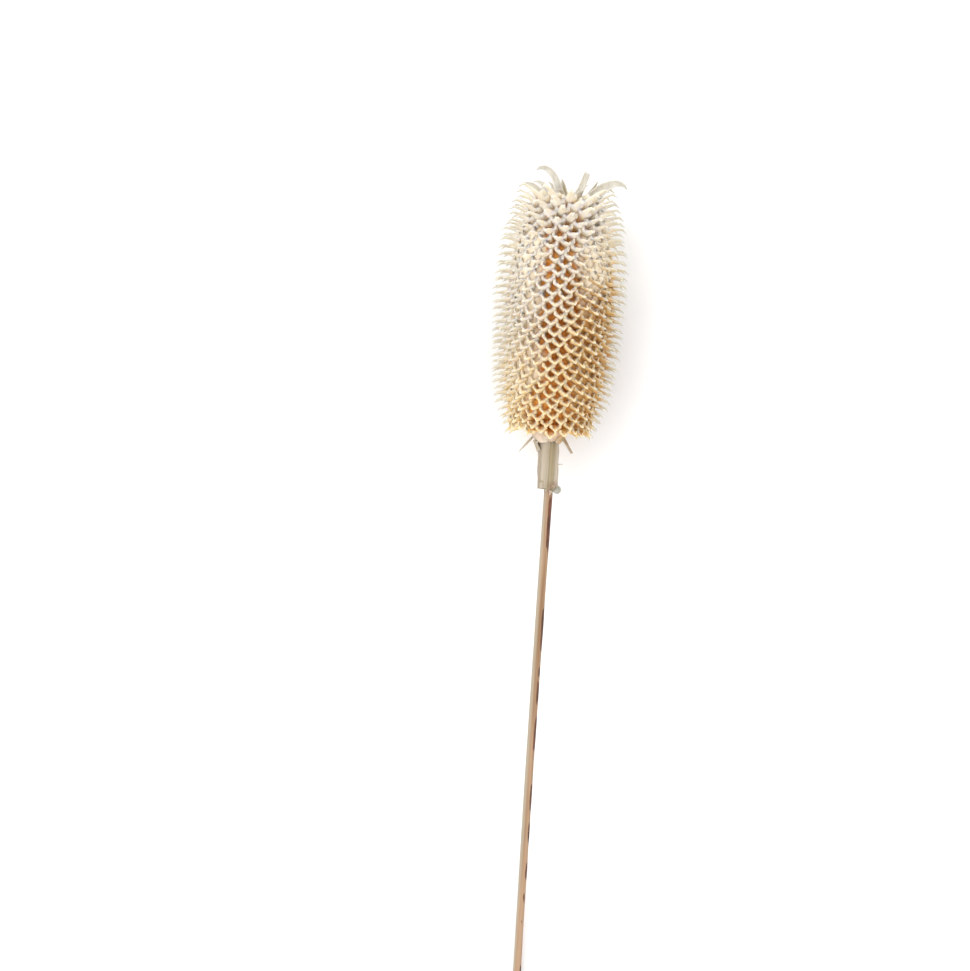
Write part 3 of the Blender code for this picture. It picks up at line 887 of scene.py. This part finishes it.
BLADE_WING = 0.45  # height of a blade's wings, as a share of half its width
BLADE_WALL = 0.0006
BLADE_THINNED = 0.4  # how much thinner its wall is at the tip
BLADE_LEAST = 0.00006  # half its width at the very tip
BLADE_HOOK = 4  # how late it bends over
BLADE_ROOT_SHARE = 0.6  # of its full width, at its root
BLADE_SWELLS = (-0.1, 0.25)  # the shares of its reach over which it comes to its full width
BLADE_BROKEN_SHARE = 0.75  # of its full width, where its tip has broken off


def blade_width(share, kept):
    """Width of a blade at a share of its reach: narrow at the root, full at a quarter, and tapering late."""
    root = mix(ease(share, *BLADE_SWELLS), BLADE_ROOT_SHARE, 1.0)
    taper = (1 - share**1.8) ** 0.8
    return root * (taper if kept else max(taper, BLADE_BROKEN_SHARE))


def grow_blade(
    bm, layers, turn, away, height, rise, reach, width, bend, kept, wing=BLADE_WING, roll=0, tone=0.0
):
    """A channelled blade that leaves its root and bends over outwards, most near its tip. Its sizes are in
    millimetres and its angles in degrees."""
    radial = outward(math.radians(turn))
    upright = Vector((0, 0, 1))
    sideways = upright.cross(radial)
    root = (radial * away + upright * height) / 1000
    reach, width = reach / 1000, width / 1000
    rise, bend, roll = math.radians(rise), math.radians(bend), math.radians(roll)
    outlines = []
    for step, (out, up, angle) in enumerate(hooked_path(rise, bend, reach, BLADE_HOOK, BLADE_STEPS)):
        share = step / BLADE_STEPS
        middle = root + radial * out + upright * up
        over = upright * math.cos(angle) - radial * math.sin(angle)
        across_blade = sideways * math.cos(roll) + over * math.sin(roll)
        over = over * math.cos(roll) - sideways * math.sin(roll)
        half = max(width / 2 * blade_width(share, kept), BLADE_LEAST)
        wall = BLADE_WALL * (1 - BLADE_THINNED * share)
        corners = fold(half, half * wing, 1.0, 0.0, min(wall, half))
        outlines.append([middle + across_blade * across + over * above for across, above, _ in corners])
    rings = draw_out(bm, outlines[:-1], outlines[-1][2] if kept else None)
    for step, ring in enumerate(rings):
        for corner, (_, _, edge) in zip(ring, fold(1, 1, 1, 0, 1)):
            corner[layers["along"]] = step / BLADE_STEPS
            corner[layers["edge"]] = edge
            corner[layers["tone"]] = tone


crown_paper, tree, place = new_material("crown_paper")
along = attribute(tree, "along")
edge = attribute(tree, "edge")
mottled = place.mottle(0.0014, 4.0)
veins = place.mottle(0.00035, 3.0, (1, 0.15, 1))
paper = mottled.between(0.35, 0.65).colour(paint(204, 200, 190), paint(222, 219, 210))
# Painted shade: a blade's tone darkens it towards khaki, as if seen from its shaded side.
paper = (attribute(tree, "tone") * 0.9).colour(paper, paint(160, 146, 108))
paper = (along.between(0.30, 0.05) * 0.6).colour(paper, paint(206, 184, 148))
paper = (edge.between(0.6, 1.0) * 0.5).colour(paper, paint(222, 218, 208))
paper = (along.between(0.60, 0.95) * 0.6).colour(paper, paint(180, 177, 164))
paper = (veins.between(0.48, 0.32) * 0.3).colour(paper, paint(146, 136, 114))
set_surface(
    crown_paper,
    tree,
    {
        "Base Color": paper,
        "Roughness": 0.5 + mottled * 0.2,
        "Subsurface Weight": 0.5,
        "Subsurface Radius": (1.0, 0.85, 0.7),
        "Subsurface Scale": 0.0010,
        "Normal": bump(tree, veins, 0.0001, 0.6),
    },
)
for number, (*root_and_shape, roll, kept, blade_shade) in enumerate(CROWN, 1):
    bm = bmesh.new()
    grow_blade(bm, bract_layers(bm), *root_and_shape, kept, roll=roll, tone=blade_shade)
    node = f"crown_bract_{number:02d}"
    add_piece(f"crown_blade_{number:02d}", bm, head_frame, crown_paper, [node])

# ---------------------------------------------------------------------------- remains below the head
# Four of the long bracts that stood in a ring below the head, one thin spine and three snapped stumps, and
# the broad papery lobes between them, which turn up against the lowest bracts. A flap and a fibre of the
# stalk's skin have torn loose beside them.

# Turn from the front, rise, reach, width, and tip kept, in degrees and millimetres here too.
INVOLUCRE = [
    ("left_spine", -74, -50, 8.4, 0.9, True),
    ("right_stump", 62, -52, 7.0, 1.5, False),
    ("back_left_stump", -152, -38, 4.0, 1.3, False),
    ("back_right_stump", 142, -40, 3.2, 1.4, False),
]
INVOLUCRE_AWAY = 5.0
INVOLUCRE_HEIGHT = 0.8
# Lobes and torn shreds that go with each: turn, distance of the root from the axis, its height, rise,
# reach, width, and 1 for a pinkish lobe or 0 for a grey shred of the stalk.
LOBES = [
    [
        (-36, 4.0, -1.3, 54, 6.6, 6.4, 1),
        (-88, 4.0, -0.4, 50, 5.8, 5.0, 1),
        (-72, 3.2, -4.6, 64, 4.2, 3.6, 0),
    ],
    [
        (60, 4.0, -1.3, 54, 6.6, 4.8, 1),
        (12, 4.0, -0.6, 54, 5.4, 5.6, 1),
        (92, 3.4, -8.7, 8, 2.2, 0.4, 0),
    ],
    [(-130, 4.0, -0.4, 50, 5.4, 5.0, 1), (-172, 4.0, -0.2, 48, 5.2, 5.0, 1)],
    [(100, 4.0, -0.5, 50, 5.4, 5.0, 1), (146, 4.0, -0.3, 50, 5.4, 5.0, 1)],
]
LOBE_BEND = 14
LOBE_WING = 0.2

collar_paper, tree, place = new_material("collar_paper")
aside = (place.axis("X") - (stick_start.x + head_shift)) * (1 / CORE_COLLAR_RADIUS)
mottled = place.mottle(0.0012, 3.0)
veins = place.mottle(0.0003, 3.0, (1, 0.15, 1))
paper = mottled.between(0.35, 0.65).colour(paint(206, 180, 156), paint(226, 208, 188))
paper = (aside + mottled - 0.5).between(0.1, 0.8).colour(paper, paint(190, 158, 112))
paper = attribute(tree, "tone").colour(paint(172, 162, 142), paper)
paper = (veins.between(0.48, 0.32) * 0.35).colour(paper, paint(150, 128, 96))
set_surface(
    collar_paper,
    tree,
    {
        "Base Color": paper,
        "Roughness": 0.6 + mottled * 0.2,
        "Subsurface Weight": 0.5,
        "Subsurface Radius": (1.0, 0.8, 0.6),
        "Subsurface Scale": 0.0010,
        "Normal": bump(tree, veins, 0.0001, 0.6),
    },
)
for (name, turn, rise, reach, width, kept), lobes in zip(INVOLUCRE, LOBES):
    bm = bmesh.new()
    layers = bract_layers(bm)
    grow_blade(bm, layers, turn, INVOLUCRE_AWAY, INVOLUCRE_HEIGHT, rise, reach, width, 0, kept)
    for *root_and_shape, pinkish in lobes:
        grow_blade(bm, layers, *root_and_shape, LOBE_BEND, False, wing=LOBE_WING, tone=pinkish)
    lay_on_floor(bm, head_frame)
    add_piece(f"dry_{name}", bm, head_frame, collar_paper, [f"involucre_{name}"])

# ------------------------------------------------------------------------------- floor, light, camera
# A plain pale studio floor under soft light from the upper left, seen from straight above.

FLOOR_SIZE = 4.0
FLOOR_BELOW = 0.00005  # a hair below what lies on it
SKY_STRENGTH = 1.28
KEY_AWAY = Vector((-0.75, 0.45, 1.0))  # where the square soft light stands from the head
KEY_SIZE = 0.9
KEY_POWER = 5.0
VIEW_HEIGHT = 1.2
VIEW_WIDTH = 0.3233  # what the picture shows across, at the head's middle
VIEW_TURN = math.radians(3.69)
VIEW_ASIDE = -0.0207
VIEW_ALONG = 0.0339
SENSOR = 36.0

bm = bmesh.new()
bmesh.ops.create_grid(bm, x_segments=4, y_segments=4, size=FLOOR_SIZE / 2)
mesh = bpy.data.meshes.new("floor")
bm.to_mesh(mesh)
bm.free()
floor = bpy.data.objects.new("floor", mesh)
floor.location.z = -FLOOR_BELOW
bpy.context.scene.collection.objects.link(floor)
floor_card, tree, place = new_material("floor_card")
set_surface(
    floor_card,
    tree,
    {"Base Color": place.mottle(0.01).colour(paint(246, 246, 246), paint(249, 249, 249)), "Roughness": 0.9},
)
mesh.materials.append(floor_card)

world = bpy.data.worlds.new("studio")
world.use_nodes = True
sky = world.node_tree.nodes["Background"]
sky.inputs["Color"].default_value = (1, 1, 1, 1)
sky.inputs["Strength"].default_value = SKY_STRENGTH
bpy.context.scene.world = world

head_middle = head_frame @ Vector((0, 0, RIM_WIDEST))
lamp = bpy.data.lights.new("key", "AREA")
lamp.size = KEY_SIZE
lamp.energy = KEY_POWER
key = bpy.data.objects.new("key", lamp)
key.location = head_middle + KEY_AWAY
key.rotation_euler = KEY_AWAY.to_track_quat("Z", "Y").to_euler()
bpy.context.scene.collection.objects.link(key)

middle = (cad_low + cad_high) / 2
lens = bpy.data.cameras.new("camera")
lens.sensor_width = SENSOR
lens.lens = SENSOR * VIEW_HEIGHT / VIEW_WIDTH
camera = bpy.data.objects.new("camera", lens)
camera.location = (middle.x + VIEW_ASIDE, middle.y + VIEW_ALONG, head_middle.z + VIEW_HEIGHT)
camera.rotation_euler = (0, 0, VIEW_TURN)
bpy.context.scene.collection.objects.link(camera)
bpy.context.scene.camera = camera
bpy.context.scene.view_settings.view_transform = "Standard"
